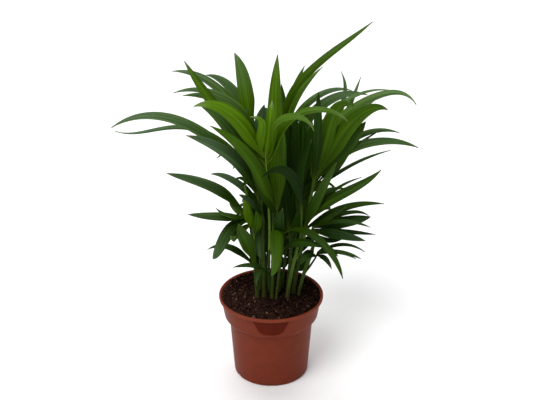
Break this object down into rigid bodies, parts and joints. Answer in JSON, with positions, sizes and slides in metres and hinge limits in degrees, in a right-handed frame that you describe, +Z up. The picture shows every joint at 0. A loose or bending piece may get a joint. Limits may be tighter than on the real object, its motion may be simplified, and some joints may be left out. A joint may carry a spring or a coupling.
{
  "type": "potted areca palm",
  "caption": "Young areca palm with slender stems and arching feathery fronds, in a round red-brown plastic pot with a deep collar.",
  "frame": {"origin": "centre of the flat underside of the pot", "axes": "+Z up along the pot's axis, -Y towards the side the picture was taken from, +X to the right in the picture"},
  "size_m": [0.3272, 0.2322, 0.4071],
  "materials": {
    "pot_plastic": "satin moulded plastic",
    "compost": "loose, granular, matt",
    "stem": "smooth, slightly waxy",
    "leaf": "satin leaf with fine lengthwise veins"
  },
  "bodies": {
    "root": {"compost": "compost", "frond_arch_mid": "leaf", "frond_back_high_left": "leaf", "frond_back_high_mid": "leaf", "frond_back_high_right": "leaf", "frond_back_low_left": "leaf", "frond_back_low_mid": "leaf", "frond_back_low_right": "leaf", "frond_back_mid": "leaf", "frond_back_mid_left": "leaf", "frond_back_mid_right": "leaf", "frond_dark_back": "leaf", "frond_dark_deep": "leaf", "frond_dark_left": "leaf", "frond_dark_low": "leaf", "frond_dark_mid": "leaf", "frond_front_left_bright": "leaf", "frond_front_low": "leaf", "frond_front_mid": "leaf", "frond_inner_left": "leaf", "frond_left_behind": "leaf", "frond_left_bright": "leaf", "frond_left_high": "leaf", "frond_left_low": "leaf", "frond_left_mid": "leaf", "frond_left_yellow": "leaf", "frond_low_left": "leaf", "frond_right_bright": "leaf", "frond_right_far": "leaf", "frond_right_high": "leaf", "frond_right_low": "leaf", "frond_right_lowest": "leaf", "frond_right_mid": "leaf", "frond_tall_right": "leaf", "pot": "pot_plastic", "stem_01": "stem", "stem_02": "stem", "stem_03": "stem", "stem_04": "stem", "stem_05": "stem", "stem_06": "stem", "stem_07": "stem", "stem_08": "stem", "stem_09": "stem", "stem_10": "stem", "stem_11": "stem", "stem_12": "stem", "stem_13": "stem", "stem_14": "stem", "stem_15": "stem"}
  },
  "joints": []
}
